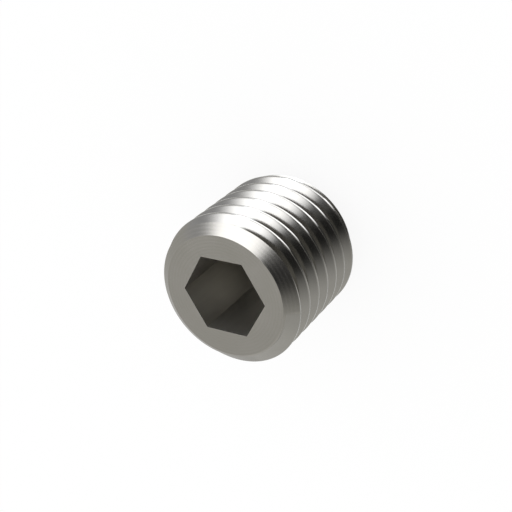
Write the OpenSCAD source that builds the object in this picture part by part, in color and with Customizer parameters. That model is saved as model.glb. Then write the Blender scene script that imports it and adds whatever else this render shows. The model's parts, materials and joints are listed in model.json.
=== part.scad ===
// Set screw with a hexagon socket and a flat point, M8 fine thread, 8 mm long.
// It stands on its flat point. The origin is the middle of the point, +Z is the screw's axis,
// and the socket opens upwards. It is one piece of turned steel with a punched socket.

/* [Body] */
// Length from the flat point to the socket end
screw_l = 8; // [7:0.5:30]
// Outside diameter over the thread's crests
thread_d = 8; // [7:0.1:10]
// Diameter of the flat point
point_d = 5.5; // [4.5:0.1:6]
// Diameter of the flat ring round the socket, inside the chamfer
face_d = 6.62; // [5.6:0.02:6.7]
// Angle between the point's chamfer and the axis
point_angle = 45; // [40:1:60]
// Angle between the socket end's chamfer and the axis
face_angle = 60; // [45:1:65]

/* [Thread] */
// Pitch, the axial distance from one turn to the next
pitch = 1; // [0.75:0.05:1.25]
// Angle between the two flanks of the groove
flank_angle = 60; // [55:1:60]
// Angle round the axis at which the groove's middle passes the plane of the point
groove_start = 42; // [0:1:359]
// Straight steps in each turn of the thread
steps_per_turn = 48; // [24:12:72]

/* [Socket] */
// Width of the hexagon socket across its flats
socket_af = 4; // [3:0.1:4.5]
// Depth of the socket's flat walls
socket_depth = 5; // [3:0.1:5.2]
// Angle of the cone at the bottom of the socket, wall to wall
cone_angle = 120; // [110:1:140]

/* [Hidden] */
steel = [0.55, 0.54, 0.51];
thread_r = thread_d / 2;
point_r = point_d / 2;
face_r = face_d / 2;
socket_r = socket_af / 2;
// Height of each chamfer along the axis
point_rise = (thread_r - point_r) / tan(point_angle);
face_rise = (thread_r - face_r) / tan(face_angle);
// Standard proportions of the metric thread: a crest of an eighth of the pitch, and the depth of a rounded root
crest_w = pitch / 8;
groove_depth = pitch * 17 / 24 * sqrt(3) / 2;
// How far the groove's cutter stands out of the crests, and past both ends of the screw
cutter_out = 0.09 * pitch;
cutter_past = pitch;
// Half width of the groove where it leaves the cylinder, at its root and at the cutter's outside
mouth_half = (pitch - crest_w) / 2;
root_half = mouth_half - groove_depth * tan(flank_angle / 2);
outer_half = mouth_half + cutter_out * tan(flank_angle / 2);
round_faces = 96;
overlap = 0.5;

// Blank of the screw: a cylinder with a chamfer at the point and another at the socket end
module blank() {
    rotate_extrude($fn = round_faces)
        polygon([
            [0, 0],
            [point_r, 0],
            [thread_r, point_rise],
            [thread_r, screw_l - face_rise],
            [face_r, screw_l],
            [0, screw_l]
        ]);
}

// Section of the groove in the plane of the axis, as radius and height from the groove's middle
groove_section = [
    [thread_r - groove_depth, -root_half],
    [thread_r + cutter_out, -outer_half],
    [thread_r + cutter_out, outer_half],
    [thread_r - groove_depth, root_half]
];

// Place of one corner of the section after a number of steps along the right-hand helix
function helix_point(step, corner) =
    let (
        angle = step * 360 / steps_per_turn,
        rise = (angle - groove_start) / 360 * pitch
    )
    [corner[0] * cos(angle), corner[0] * sin(angle), rise + corner[1]];

// The thread's groove, as one solid that winds past both ends of the screw
module thread_groove() {
    corners = len(groove_section);
    first = floor(-cutter_past / pitch * steps_per_turn);
    last = ceil((screw_l + cutter_past) / pitch * steps_per_turn);
    count = last - first;
    points = [
        for (step = [first:last])
            for (corner = groove_section)
                helix_point(step, corner)
    ];
    sides = [
        for (i = [0:count - 1])
            for (j = [0:corners - 1])
                let (
                    a = i * corners + j,
                    b = i * corners + (j + 1) % corners
                )
                each [[a, b, b + corners], [a, b + corners, a + corners]]
    ];
    start_cap = [[for (j = [corners - 1:-1:0]) j]];
    end_cap = [[for (j = [0:corners - 1]) count * corners + j]];
    polyhedron(points = points, faces = concat(sides, start_cap, end_cap), convexity = 20);
}

// Hexagon socket with a drilled cone at its bottom
module socket() {
    floor_z = screw_l - socket_depth;
    cone_rise = socket_r / tan(cone_angle / 2);
    translate([0, 0, floor_z])
        cylinder(h = socket_depth + overlap, r = socket_r / cos(30), $fn = 6);
    translate([0, 0, floor_z - cone_rise])
        cylinder(h = cone_rise, r1 = 0, r2 = socket_r, $fn = round_faces);
}

module set_screw() {
    color(steel)
        difference() {
            blank();
            thread_groove();
            socket();
        }
}

set_screw();
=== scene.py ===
"""Set screw with a hexagon socket and a flat point, M8 with the fine thread: the finished look.

The screw stands on its flat point, with its axis on +Z and the socket upwards. All is in metres.
One Geometry Nodes tree makes it as a workshop would: a chamfered blank is turned, the thread's
groove is wound round it, and the hexagon socket is drilled and punched. Three steel finishes
follow those three steps.
"""
import json
import math

import bpy
from mathutils import Matrix, Vector


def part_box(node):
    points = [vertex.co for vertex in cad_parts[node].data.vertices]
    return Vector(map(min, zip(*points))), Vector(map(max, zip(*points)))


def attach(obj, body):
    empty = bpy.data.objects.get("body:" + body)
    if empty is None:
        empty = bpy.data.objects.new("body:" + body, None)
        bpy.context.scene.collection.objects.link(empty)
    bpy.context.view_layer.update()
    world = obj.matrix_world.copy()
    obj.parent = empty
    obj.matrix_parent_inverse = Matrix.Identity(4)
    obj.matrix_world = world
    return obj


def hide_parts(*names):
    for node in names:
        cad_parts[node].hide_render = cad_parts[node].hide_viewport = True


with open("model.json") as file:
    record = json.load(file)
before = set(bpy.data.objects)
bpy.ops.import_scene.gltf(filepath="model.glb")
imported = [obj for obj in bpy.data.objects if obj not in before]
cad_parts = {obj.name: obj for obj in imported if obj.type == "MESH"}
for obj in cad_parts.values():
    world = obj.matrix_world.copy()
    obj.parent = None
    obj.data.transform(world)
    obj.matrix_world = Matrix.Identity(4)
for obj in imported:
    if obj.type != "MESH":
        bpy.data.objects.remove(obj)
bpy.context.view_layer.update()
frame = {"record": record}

MM = 0.001

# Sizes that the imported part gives
part_low, part_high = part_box("set_screw")
mounts = {mount["name"]: mount for mount in frame["record"]["mounts"]}
LENGTH = part_high[2] - part_low[2]
THREAD_R = mounts["thread"]["dims"]["r_mm"] * MM
SOCKET_R = mounts["hex_socket"]["dims"]["r_mm"] * MM
SOCKET_DEPTH = mounts["hex_socket"]["dims"]["length_mm"] * MM

# Proportions of the standard metric fine thread, and of this kind of point and socket
PITCH = THREAD_R / 4
POINT_R = 2.75 * MM
FACE_R = 3.31 * MM
POINT_ANGLE = math.radians(45)
FACE_ANGLE = math.radians(60)
FLANK_ANGLE = math.radians(30)
DRILL_ANGLE = math.radians(60)
GROOVE_START = math.radians(42)
GROOVE_DEPTH = PITCH * 17 / 24 * math.sqrt(3) / 2
MOUTH_HALF = PITCH * 7 / 16
ROOT_HALF = MOUTH_HALF - GROOVE_DEPTH * math.tan(FLANK_ANGLE)
# Rolling leaves the root round and takes the sharp edge off each crest
ROOT_ROUND = 0.13 * MM
CREST_ROUND = 0.04 * MM
# The groove's cutter flares a little over the crest, so that the rounding ends almost flat on it
LIP_HALF = PITCH * 0.49
LIP_RISE = PITCH * 0.01
# Shares of the flank between which it stays flat, clear of both roundings
FLANK_START = 0.2
FLANK_END = 0.88
SECTION_CORNERS = 10
# Straight steps round the screw, round each small rounding and round the drilled cone
STEPS_PER_TURN = 192
STEPS_PER_ROUNDING = 4
STEPS_PER_DRILL = 96

SIZES = {
    "Length": LENGTH,
    "Thread Radius": THREAD_R,
    "Pitch": PITCH,
    "Steps per Turn": STEPS_PER_TURN,
    "Steps per Rounding": STEPS_PER_ROUNDING,
    "Steps per Drill": STEPS_PER_DRILL,
    "Groove Start": GROOVE_START,
    "Groove Depth": GROOVE_DEPTH,
    "Root Half Width": ROOT_HALF,
    "Mouth Half Width": MOUTH_HALF,
    "Lip Half Width": LIP_HALF,
    "Lip Rise": LIP_RISE,
    "Flank Start": FLANK_START,
    "Flank End": FLANK_END,
    "Root Round": ROOT_ROUND,
    "Crest Round": CREST_ROUND,
    "Point Radius": POINT_R,
    "Point Slope": math.tan(POINT_ANGLE),
    "Face Radius": FACE_R,
    "Face Slope": math.tan(FACE_ANGLE),
    "Socket Radius": SOCKET_R,
    "Socket Depth": SOCKET_DEPTH,
    "Drill Slope": math.tan(DRILL_ANGLE),
}
# Edges that turn by more than this stay sharp to the eye
SHARP_ANGLE = math.radians(30)
# A face is on a crest when it is farther out than this share of the thread's radius
CREST_SHARE = 0.997
# A regular hexagon's half width across its flats, as a share of its radius at the corners
FLAT_TO_CORNER = math.cos(math.pi / 6)

# The camera's place, the point that it looks at, its roll and its lens, as fitted to the photo
CAMERA_AT = Vector((-8.419, 31.172, 42.553)) * MM
CAMERA_AIM = Vector((-0.476, -0.171, 4.041)) * MM
CAMERA_ROLL = math.radians(130.51)
CAMERA_LENS = 67.45
SENSOR = 36.0
CLIP_START = 0.001

# Edge of the square floor, wide enough to fill every view
FLOOR_SIZE = 1.2
# Share of the floor's look that is plain white. The rest is matte paper, which keeps the shadow
FLOOR_WHITENING = 0.88
ROOM_COLOUR = "FFFFFF"
# Daylight through cloth, a little cooler than the white room
SOFTBOX_COLOUR = "F5F7FF"
STRIP_COLOUR = "E4EEFF"


def srgb(hex_colour):
    """Turns an sRGB hex value such as "8B8882" into Blender's linear colour."""
    parts = [int(hex_colour[i:i + 2], 16) / 255 for i in (0, 2, 4)]
    return tuple(c / 12.92 if c <= 0.04045 else ((c + 0.055) / 1.055) ** 2.4 for c in parts) + (1.0,)


def feed(tree, node, inputs):
    """Sets a node's inputs, each to a value or to what it is linked from.

    That is an output, a node, whose first output is meant, or a list of those.
    """
    for key, value in inputs.items():
        for one in value if isinstance(value, list) else [value]:
            if isinstance(one, bpy.types.Node):
                one = one.outputs[0]
            if isinstance(one, bpy.types.NodeSocket):
                tree.links.new(one, node.inputs[key])
            else:
                node.inputs[key].default_value = one


def add(tree, kind, inputs=None, **settings):
    """Adds a node with its settings and links."""
    new = tree.nodes.new(kind)
    for name, value in settings.items():
        setattr(new, name, value)
    feed(tree, new, inputs or {})
    return new


def material(name):
    """A new material, and its emptied node tree."""
    new = bpy.data.materials.new(name)
    new.use_nodes = True
    new.node_tree.nodes.clear()
    return new, new.node_tree


def in_millimetres(tree):
    """The place on the screw in millimetres, from its own axis and the plane that it stands on."""
    place = add(tree, "ShaderNodeTexCoord")
    return add(tree, "ShaderNodeVectorMath", {0: place.outputs["Object"], "Scale": 1 / MM}, operation="SCALE")


def wave_scale(spacing):
    """Scale of a wave texture whose rings are this many millimetres apart, as at 1 they are tau / 20."""
    return math.tau / 20 / spacing


def turned_steel():
    """Stainless steel faced and chamfered in a lathe.

    The eye sees a satin surface with very fine rings round the axis, which are the marks of the
    tool's feed. A real feed of 0.05 mm is too fine to show, so the rings are 0.17 mm apart.
    """
    new, tree = material("turned_stainless_steel")
    place = in_millimetres(tree)
    rings = add(tree, "ShaderNodeTexWave", {
        "Vector": place, "Scale": wave_scale(0.17), "Distortion": 0.12, "Detail": 1.0, "Detail Scale": 0.5,
    }, wave_type="RINGS", rings_direction="Z")
    cloud = add(tree, "ShaderNodeTexNoise", {"Vector": place, "Scale": 0.9, "Detail": 3.0})
    both = add(tree, "ShaderNodeMix", {0: 0.35, 2: cloud, 3: rings.outputs["Fac"]})
    colour = add(tree, "ShaderNodeMix", {0: both, 6: srgb("84827A"), 7: srgb("8B8882")}, data_type="RGBA")
    roughness = add(tree, "ShaderNodeMapRange", {"Value": both, "To Min": 0.15, "To Max": 0.24})
    bump = add(tree, "ShaderNodeBump", {
        "Height": rings.outputs["Fac"], "Strength": 0.4, "Distance": 0.001 * MM})
    surface = add(tree, "ShaderNodeBsdfPrincipled", {
        "Base Color": colour.outputs[2], "Metallic": 1.0, "Roughness": roughness, "Normal": bump})
    add(tree, "ShaderNodeOutputMaterial", {"Surface": surface})
    return new


def rolled_steel():
    """Stainless steel squeezed between thread rolls.

    It is smoother and brighter than a turned face. The eye sees long fine streaks that follow the
    thread, where the rolls drew the metal out, 0.1 mm and less apart.
    """
    new, tree = material("rolled_stainless_steel")
    place = in_millimetres(tree)
    # Stretched along the turns, and close together across them
    drawn = add(tree, "ShaderNodeMapping", {"Vector": place, "Scale": (0.35, 0.35, 6.0)})
    streaks = add(tree, "ShaderNodeTexNoise", {
        "Vector": drawn, "Scale": 2.2, "Detail": 4.0, "Roughness": 0.6})
    cloud = add(tree, "ShaderNodeTexNoise", {"Vector": place, "Scale": 0.7, "Detail": 2.0})
    both = add(tree, "ShaderNodeMix", {0: 0.5, 2: cloud, 3: streaks})
    colour = add(tree, "ShaderNodeMix", {0: both, 6: srgb("83817A"), 7: srgb("8D8B86")}, data_type="RGBA")
    roughness = add(tree, "ShaderNodeMapRange", {"Value": both, "To Min": 0.11, "To Max": 0.2})
    bump = add(tree, "ShaderNodeBump", {"Height": streaks, "Strength": 0.4, "Distance": 0.002 * MM})
    surface = add(tree, "ShaderNodeBsdfPrincipled", {
        "Base Color": colour.outputs[2], "Metallic": 1.0, "Roughness": roughness, "Normal": bump})
    add(tree, "ShaderNodeOutputMaterial", {"Surface": surface})
    return new


def punched_steel():
    """Stainless steel pushed aside by a hexagon punch.

    It is duller than the turned face. The eye sees faint lines down the walls, drawn by the
    punch's edges, a tenth of a millimetre and more apart.
    """
    new, tree = material("punched_stainless_steel")
    place = in_millimetres(tree)
    # Stretched down the walls, and close together round them
    drawn = add(tree, "ShaderNodeMapping", {"Vector": place, "Scale": (4.0, 4.0, 0.25)})
    lines = add(tree, "ShaderNodeTexNoise", {
        "Vector": drawn, "Scale": 1.3, "Detail": 3.0, "Roughness": 0.55})
    colour = add(tree, "ShaderNodeMix", {0: lines, 6: srgb("96938B"), 7: srgb("A5A29A")}, data_type="RGBA")
    roughness = add(tree, "ShaderNodeMapRange", {"Value": lines, "To Min": 0.4, "To Max": 0.52})
    bump = add(tree, "ShaderNodeBump", {"Height": lines, "Strength": 0.35, "Distance": 0.004 * MM})
    surface = add(tree, "ShaderNodeBsdfPrincipled", {
        "Base Color": colour.outputs[2], "Metallic": 1.0, "Roughness": roughness, "Normal": bump})
    add(tree, "ShaderNodeOutputMaterial", {"Surface": surface})
    return new


def chamfered_blank(tree, size, spare, bar_length, foot, start_turn, finish):
    """A bar that is longer than the screw at both ends, kept only inside the cones of its chamfers."""
    half_length = add(tree, "ShaderNodeMath", {0: size["Length"], 1: 2.0}, operation="DIVIDE")
    middle = add(tree, "ShaderNodeCombineXYZ", {"Z": half_length})
    bar = add(tree, "GeometryNodeMeshCylinder", {
        "Vertices": size["Steps per Turn"], "Radius": size["Thread Radius"], "Depth": bar_length})
    bar = add(tree, "GeometryNodeTransform", {"Geometry": bar, "Translation": middle})

    point_reach = add(tree, "ShaderNodeMath", {
        0: bar_length, 1: size["Point Slope"], 2: size["Point Radius"]}, operation="MULTIPLY_ADD")
    point_cone = add(tree, "GeometryNodeMeshCone", {
        "Vertices": size["Steps per Turn"],
        "Radius Bottom": size["Point Radius"],
        "Radius Top": point_reach,
        "Depth": bar_length})

    face_height = add(tree, "ShaderNodeMath", {0: size["Length"], 1: spare}, operation="ADD")
    face_reach = add(tree, "ShaderNodeMath", {
        0: face_height, 1: size["Face Slope"], 2: size["Face Radius"]}, operation="MULTIPLY_ADD")
    face_cone = add(tree, "GeometryNodeMeshCone", {
        "Vertices": size["Steps per Turn"],
        "Radius Bottom": face_reach,
        "Radius Top": size["Face Radius"],
        "Depth": face_height})
    face_cone = add(tree, "GeometryNodeTransform", {"Geometry": face_cone, "Translation": foot})

    blank = add(tree, "GeometryNodeMeshBoolean", {"Mesh 2": [bar, point_cone, face_cone]},
                operation="INTERSECT", solver="MANIFOLD")
    # Its facets line up with the groove's, so that both meet in even lines
    blank = add(tree, "GeometryNodeTransform", {"Geometry": blank, "Rotation": start_turn})
    return add(tree, "GeometryNodeSetMaterial", {"Geometry": blank, "Material": finish})


def groove_section(tree, size):
    """Section of the groove, a closed curve of ten corners with its roundings.

    The corners run from the root out to the lip on one side, and back from the lip to the root on
    the other. On each side they are at five stages: the root, the start and end of the flat flank,
    the mouth and the lip.
    """
    corner = add(tree, "GeometryNodeInputIndex")
    last = SECTION_CORNERS - 1
    second_side = add(tree, "ShaderNodeMath", {0: corner, 1: last / 2}, operation="GREATER_THAN")
    last_corner = add(tree, "ShaderNodeMath", {0: second_side, 1: last}, operation="MULTIPLY")
    stage = add(tree, "ShaderNodeMath", {0: last_corner, 1: corner}, operation="SUBTRACT")
    stage = add(tree, "ShaderNodeMath", {0: stage}, operation="ABSOLUTE")
    side = add(tree, "ShaderNodeMath", {0: second_side, 1: 2.0, 2: -1.0}, operation="MULTIPLY_ADD")

    # What each stage has: its share of the flank, whether it is on the lip, and its rounding
    by_stage = []
    for values in ((0.0, size["Flank Start"], size["Flank End"], 1.0, 1.0),
                   (0.0, 0.0, 0.0, 0.0, 1.0),
                   (size["Root Round"], 0.0, 0.0, size["Crest Round"], 0.0)):
        chosen = add(tree, "GeometryNodeIndexSwitch", {"Index": stage}, data_type="FLOAT")
        while len(chosen.index_switch_items) < len(values):
            chosen.index_switch_items.new()
        feed(tree, chosen, dict(enumerate(values, start=1)))
        by_stage.append(chosen)
    along_flank, on_lip, rounding = by_stage

    from_mouth = add(tree, "ShaderNodeMath", {0: along_flank, 1: 1.0}, operation="SUBTRACT")
    outwards = add(tree, "ShaderNodeMath", {0: from_mouth, 1: size["Groove Depth"]}, operation="MULTIPLY")
    outwards = add(tree, "ShaderNodeMath", {
        0: on_lip, 1: size["Lip Rise"], 2: outwards}, operation="MULTIPLY_ADD")
    flank = add(tree, "ShaderNodeMath", {
        0: size["Mouth Half Width"], 1: size["Root Half Width"]}, operation="SUBTRACT")
    half_width = add(tree, "ShaderNodeMath", {
        0: along_flank, 1: flank, 2: size["Root Half Width"]}, operation="MULTIPLY_ADD")
    lip = add(tree, "ShaderNodeMath", {
        0: size["Lip Half Width"], 1: size["Mouth Half Width"]}, operation="SUBTRACT")
    half_width = add(tree, "ShaderNodeMath", {0: on_lip, 1: lip, 2: half_width}, operation="MULTIPLY_ADD")
    aside = add(tree, "ShaderNodeMath", {0: side, 1: half_width}, operation="MULTIPLY")
    place = add(tree, "ShaderNodeCombineXYZ", {"X": outwards, "Y": aside})

    corners = add(tree, "GeometryNodePoints", {"Count": SECTION_CORNERS, "Position": place})
    section = add(tree, "GeometryNodePointsToCurves", {"Points": corners})
    section = add(tree, "GeometryNodeSetSplineCyclic", {"Geometry": section, "Cyclic": True})
    return add(tree, "GeometryNodeFilletCurve", {
        "Curve": section, "Count": size["Steps per Rounding"], "Limit Radius": True, "Radius": rounding,
    }, mode="POLY")


def thread_groove(tree, size, bar_length, foot, start_turn, finish):
    """The groove's section wound up a right-hand helix, from under the point to over the face."""
    turns = add(tree, "ShaderNodeMath", {0: bar_length, 1: size["Pitch"]}, operation="DIVIDE")
    helix = add(tree, "GeometryNodeCurveSpiral", {
        "Resolution": size["Steps per Turn"],
        "Rotations": turns,
        "Start Radius": size["Thread Radius"],
        "End Radius": size["Thread Radius"],
        "Height": bar_length,
        "Reverse": True})
    helix = add(tree, "GeometryNodeSetCurveNormal", {"Curve": helix}, mode="Z_UP")
    groove = add(tree, "GeometryNodeCurveToMesh", {
        "Curve": helix, "Profile Curve": groove_section(tree, size), "Fill Caps": True})
    groove = add(tree, "GeometryNodeTransform", {
        "Geometry": groove, "Translation": foot, "Rotation": start_turn})
    return add(tree, "GeometryNodeSetMaterial", {"Geometry": groove, "Material": finish})


def hexagon_socket(tree, size, spare, finish):
    """A drilled cone under a six-sided punch, with a corner of the hexagon on +X."""
    floor = add(tree, "ShaderNodeMath", {0: size["Length"], 1: size["Socket Depth"]}, operation="SUBTRACT")
    drill_height = add(tree, "ShaderNodeMath", {
        0: size["Socket Radius"], 1: size["Drill Slope"]}, operation="DIVIDE")
    drill = add(tree, "GeometryNodeMeshCone", {
        "Vertices": size["Steps per Drill"],
        "Radius Bottom": 0.0,
        "Radius Top": size["Socket Radius"],
        "Depth": drill_height})
    tip = add(tree, "ShaderNodeMath", {0: floor, 1: drill_height}, operation="SUBTRACT")
    drill_place = add(tree, "ShaderNodeCombineXYZ", {"Z": tip})
    drill = add(tree, "GeometryNodeTransform", {"Geometry": drill, "Translation": drill_place})

    punch_height = add(tree, "ShaderNodeMath", {0: size["Socket Depth"], 1: spare}, operation="ADD")
    corner_radius = add(tree, "ShaderNodeMath", {
        0: size["Socket Radius"], 1: FLAT_TO_CORNER}, operation="DIVIDE")
    punch = add(tree, "GeometryNodeMeshCylinder", {
        "Vertices": 6, "Radius": corner_radius, "Depth": punch_height})
    middle = add(tree, "ShaderNodeMath", {0: punch_height, 1: 0.5, 2: floor}, operation="MULTIPLY_ADD")
    punch_place = add(tree, "ShaderNodeCombineXYZ", {"Z": middle})
    punch = add(tree, "GeometryNodeTransform", {"Geometry": punch, "Translation": punch_place})

    socket = add(tree, "GeometryNodeMeshBoolean", {"Mesh 2": [drill, punch]},
                 operation="UNION", solver="MANIFOLD")
    return add(tree, "GeometryNodeSetMaterial", {"Geometry": socket, "Material": finish})


def screw_tree(turned, rolled, punched):
    """The whole screw as a tree of geometry nodes, with the sizes as its named inputs."""
    tree = bpy.data.node_groups.new("set_screw_form", "GeometryNodeTree")
    tree.interface.new_socket("Geometry", in_out="OUTPUT", socket_type="NodeSocketGeometry")
    for name, value in SIZES.items():
        kind = "NodeSocketInt" if isinstance(value, int) else "NodeSocketFloat"
        tree.interface.new_socket(name, in_out="INPUT", socket_type=kind)
    size = add(tree, "NodeGroupInput").outputs

    # The bar, the groove and the punch all reach two pitches past the screw's ends
    spare = add(tree, "ShaderNodeMath", {0: size["Pitch"], 1: 2.0}, operation="MULTIPLY")
    bar_length = add(tree, "ShaderNodeMath", {0: spare, 1: 2.0, 2: size["Length"]}, operation="MULTIPLY_ADD")
    drop = add(tree, "ShaderNodeMath", {0: spare, 1: -1.0}, operation="MULTIPLY")
    foot = add(tree, "ShaderNodeCombineXYZ", {"Z": drop})
    start_turn = add(tree, "ShaderNodeCombineXYZ", {"Z": size["Groove Start"]})
    blank = chamfered_blank(tree, size, spare, bar_length, foot, start_turn, turned)
    groove = thread_groove(tree, size, bar_length, foot, start_turn, rolled)
    socket = hexagon_socket(tree, size, spare, punched)
    screw = add(tree, "GeometryNodeMeshBoolean", {"Mesh 1": blank, "Mesh 2": [groove, socket]},
                operation="DIFFERENCE", solver="MANIFOLD")

    # Smooth to the eye, except along sharp edges
    screw = add(tree, "GeometryNodeSetShadeSmooth", {"Geometry": screw, "Shade Smooth": True})
    edge_angle = add(tree, "GeometryNodeInputMeshEdgeAngle")
    sharp = add(tree, "ShaderNodeMath", {0: edge_angle, 1: SHARP_ANGLE}, operation="GREATER_THAN")
    screw = add(tree, "GeometryNodeSetShadeSmooth", {
        "Geometry": screw, "Selection": sharp, "Shade Smooth": False}, domain="EDGE")

    # The crests are rolled too: they are the faces as far out as the bar
    place = add(tree, "GeometryNodeInputPosition")
    place = add(tree, "ShaderNodeSeparateXYZ", {0: place}).outputs
    squared = add(tree, "ShaderNodeMath", {0: place["Y"], 1: place["Y"]}, operation="MULTIPLY")
    squared = add(tree, "ShaderNodeMath", {
        0: place["X"], 1: place["X"], 2: squared}, operation="MULTIPLY_ADD")
    from_axis = add(tree, "ShaderNodeMath", {0: squared}, operation="SQRT")
    limit = add(tree, "ShaderNodeMath", {0: size["Thread Radius"], 1: CREST_SHARE}, operation="MULTIPLY")
    on_crest = add(tree, "ShaderNodeMath", {0: from_axis, 1: limit}, operation="GREATER_THAN")
    screw = add(tree, "GeometryNodeRealizeInstances", {"Geometry": screw})
    screw = add(tree, "GeometryNodeSetMaterial", {
        "Geometry": screw, "Selection": on_crest, "Material": rolled})
    add(tree, "NodeGroupOutput", {0: screw})
    return tree


def make_screw():
    """Runs the tree on an empty mesh, and keeps what it makes as a plain mesh."""
    tree = screw_tree(turned_steel(), rolled_steel(), punched_steel())
    holder = bpy.data.objects.new("screw_maker", bpy.data.meshes.new("screw_maker"))
    bpy.context.scene.collection.objects.link(holder)
    maker = holder.modifiers.new("form", "NODES")
    maker.node_group = tree
    sockets = {item.name: item.identifier for item in tree.interface.items_tree if item.in_out == "INPUT"}
    for name, value in SIZES.items():
        maker[sockets[name]] = value
    made = holder.evaluated_get(bpy.context.evaluated_depsgraph_get())
    mesh = bpy.data.meshes.new_from_object(made)
    mesh.name = "set_screw_body"
    holder.modifiers.remove(maker)
    bpy.data.objects.remove(holder)
    screw = bpy.data.objects.new("set_screw_body", mesh)
    bpy.context.scene.collection.objects.link(screw)
    return screw


screw = make_screw()
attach(screw, "root")
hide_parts("set_screw")


def make_camera():
    """Camera at the place that was fitted to the photo, turned round its own line of sight."""
    ahead = (CAMERA_AIM - CAMERA_AT).normalized()
    level = ahead.cross(Vector((0, 0, 1))).normalized()
    upright = level.cross(ahead)
    up = upright * math.cos(CAMERA_ROLL) + level * math.sin(CAMERA_ROLL)
    right = ahead.cross(up)
    data = bpy.data.cameras.new("camera")
    data.lens = CAMERA_LENS
    data.sensor_width = SENSOR
    data.clip_start = CLIP_START
    camera = bpy.data.objects.new("camera", data)
    axes = Matrix((right, up, -ahead)).transposed().to_4x4()
    camera.matrix_world = Matrix.Translation(CAMERA_AT) @ axes
    bpy.context.scene.collection.objects.link(camera)
    bpy.context.scene.camera = camera


def make_world():
    """White surroundings, which light the floor and show in the steel as a large pale room does."""
    world = bpy.data.worlds.new("studio")
    bpy.context.scene.world = world
    world.use_nodes = True
    tree = world.node_tree
    tree.nodes.clear()
    white = add(tree, "ShaderNodeBackground", {"Color": srgb(ROOM_COLOUR), "Strength": 1.0})
    add(tree, "ShaderNodeOutputWorld", {"Surface": white})


def make_floor():
    """A white floor at the level of the point, which keeps a soft shadow."""
    mesh = bpy.data.meshes.new("floor")
    reach = FLOOR_SIZE / 2
    mesh.from_pydata([(-reach, -reach, 0), (reach, -reach, 0), (reach, reach, 0), (-reach, reach, 0)],
                     [], [(0, 1, 2, 3)])
    floor = bpy.data.objects.new("floor", mesh)
    bpy.context.scene.collection.objects.link(floor)
    paper, tree = material("white_paper")
    matte = add(tree, "ShaderNodeBsdfDiffuse", {"Color": srgb(ROOM_COLOUR)})
    glow = add(tree, "ShaderNodeEmission", {"Color": srgb(ROOM_COLOUR), "Strength": 1.0})
    ray = add(tree, "ShaderNodeLightPath").outputs
    seen = add(tree, "ShaderNodeMath", {
        0: ray["Is Camera Ray"], 1: ray["Is Glossy Ray"]}, operation="MAXIMUM")
    seen = add(tree, "ShaderNodeMath", {0: seen, 1: ray["Is Transmission Ray"]}, operation="MAXIMUM")
    share = add(tree, "ShaderNodeMath", {0: seen, 1: FLOOR_WHITENING}, operation="MULTIPLY")
    both = add(tree, "ShaderNodeMixShader", {0: share, 1: matte, 2: glow})
    add(tree, "ShaderNodeOutputMaterial", {"Surface": both})
    mesh.materials.append(paper)


def toward(azimuth, elevation):
    """Direction from its angle round the screw's axis, from +X, and its angle over the floor."""
    flat = math.cos(math.radians(elevation))
    around = math.radians(azimuth)
    return Vector((flat * math.cos(around), flat * math.sin(around), math.sin(math.radians(elevation))))


def spanning(start, end, across, distance):
    """Corners of a flat card that faces the screw, from one direction to another.

    Its width across that is an angle in degrees, and its distance is in metres.
    """
    facing = (start + end).normalized()
    along = (end - start).normalized() * distance * math.tan(start.angle(end) / 2)
    aside = facing.cross(along).normalized() * distance * math.tan(math.radians(across) / 2)
    middle = Vector((0, 0, LENGTH / 2)) + facing * distance
    return middle - along - aside, middle + along - aside, middle + along + aside, middle - along + aside


def lying(*corners, height):
    """Corners of a card that lies just over the floor, from places in millimetres."""
    return [Vector((x, y, height)) * MM for x, y in corners]


def standing(first, last, distance, low, high):
    """Corners of a card that stands between two angles round the screw, with its sizes in millimetres."""
    feet = [toward(angle, 0) * distance * MM for angle in (first, last)]
    low, high = Vector((0, 0, low * MM)), Vector((0, 0, high * MM))
    return feet[0] + low, feet[1] + low, feet[1] + high, feet[0] + high


def make_card(name, corners, colour, stops):
    """A glowing card that only shows as a reflection in the steel.

    The stops give its brightness, where 1 is white, at shares of the way from its first edge to
    its far one.
    """
    mesh = bpy.data.meshes.new(name)
    mesh.from_pydata(corners, [], [(0, 1, 2, 3)])
    along = mesh.uv_layers.new(name="along").data
    for loop, share in zip(along, (0, 1, 1, 0)):
        loop.uv = (share, 0.5)
    card = bpy.data.objects.new(name, mesh)
    bpy.context.scene.collection.objects.link(card)
    cloth, tree = material(name)
    share = add(tree, "ShaderNodeUVMap", uv_map="along")
    share = add(tree, "ShaderNodeSeparateXYZ", {0: share})
    grade = add(tree, "ShaderNodeValToRGB", {0: share})
    brightest = max(brightness for _, brightness in stops)
    tint = srgb(colour)
    marks = grade.color_ramp.elements
    marks.remove(marks[1])
    for number, (place, brightness) in enumerate(stops):
        mark = marks.new(place) if number else marks[0]
        mark.position = place
        mark.color = [part * brightness / brightest for part in tint[:3]] + [1.0]
    shown = add(tree, "ShaderNodeEmission", {"Color": grade, "Strength": brightest})
    add(tree, "ShaderNodeOutputMaterial", {"Surface": shown})
    mesh.materials.append(cloth)
    card.visible_camera = False
    card.visible_diffuse = False
    card.visible_shadow = False


make_camera()
make_world()
make_floor()

# The main light, which draws the white band down the chamfer, the flanks and the crests. It fades out
# behind the start of the dark card, so that no strip of the white room shows between the two
make_card("window_softbox", spanning(toward(227.4, 24), toward(80.7, 64.7), across=56, distance=0.2),
          SOFTBOX_COLOUR, [(0, 1.0), (0.083, 1.0), (0.183, 0.85), (0.25, 1.1), (0.325, 2.7), (0.392, 5),
                           (0.7, 5), (0.75, 3.8), (0.8, 2.2), (0.842, 0.4), (0.883, 0.18),
                           (0.925, 0.1), (0.967, 0.06), (1, 0.04)])
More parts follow.
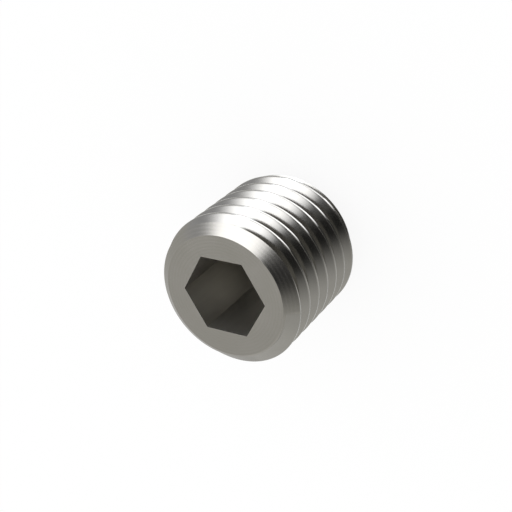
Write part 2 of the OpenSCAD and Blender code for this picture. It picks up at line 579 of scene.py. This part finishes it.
# The unlit side of the room, which draws the dark band beside the white one
make_card("dark_card", spanning(toward(108, 69), toward(1, 41), across=52, distance=0.15),
          ROOM_COLOUR, [(0, 0.25), (0.04, 0.19), (0.08, 0.11), (0.13, 0.05), (0.18, 0.03), (0.38, 0.03),
                        (0.48, 0.11), (0.62, 0.42), (0.8, 0.76), (1, 1.0)])
# A pale wall, which lightens the chamfer beyond the dark band
make_card("back_card", spanning(toward(355, 38), toward(312, 2), across=40, distance=0.25),
          ROOM_COLOUR, [(0, 1.0), (0.3, 1.15), (1, 1.15)])
# The lower parts of the light and of the unlit side, which only the rounded edges of the crests mirror
make_card("low_softbox", standing(152, 112, distance=60, low=10, high=50),
          SOFTBOX_COLOUR, [(0, 4), (0.6, 3.5), (0.8, 1.8), (0.95, 0.2), (1, 0.1)])
make_card("low_dark_card", standing(112, 40, distance=60, low=10, high=45),
          ROOM_COLOUR, [(0, 0.08), (0.6, 0.15), (0.8, 0.5), (1, 0.9)])
# A strip beside the screw, which lights the depth of the grooves by way of their far flanks
make_card("standing_strip", standing(147, 161, distance=9, low=0.1, high=9),
          STRIP_COLOUR, [(0, 4), (0.3, 11), (0.55, 22), (0.8, 22), (1, 6)])
# A painted pool of light: glowing cards lying on the floor, in place of the light that the softbox would
# throw there. The crests mirror it as bright lines. The cards on the floor start beside the screw and not
# under it, where their edges would show in the point's chamfer
make_card("painted_floor_light", lying((-12.6, -1.6), (-12.6, 12), (-5.4, 12), (-1.53, 3.74), height=0.3),
          SOFTBOX_COLOUR, [(0, 1.3), (0.18, 5), (1, 5)])
make_card("floor_light_edge", lying((-1.53, 3.74), (-0.57, 3.9), (-0.84, 12), (-5.4, 12), height=0.3),
          SOFTBOX_COLOUR, [(0, 5), (0.55, 2.4), (0.85, 0.7), (1, 0.1)])
# Painted shade of the floor out of the light, near and far: dim cards that the steel mirrors in place of the
# floor. In the dark band they leave the crests and grooves dark
make_card("near_floor_shade_card", lying((-3.35, 6.2), (4.45, 1.7), (9.1, 9.76), (1.3, 14.26), height=0.1),
          ROOM_COLOUR, [(0, 0.06), (0.46, 0.06), (0.52, 0.15), (0.6, 0.45), (0.73, 0.8), (0.82, 1.0),
                        (1, 1.0)])
make_card("far_floor_shade_card", lying((-30, 13), (12, 13), (12, 60), (-30, 60), height=0.1),
          ROOM_COLOUR, [(0, 0.4), (1, 0.4)])
bpy.context.scene.view_settings.view_transform = "Standard"
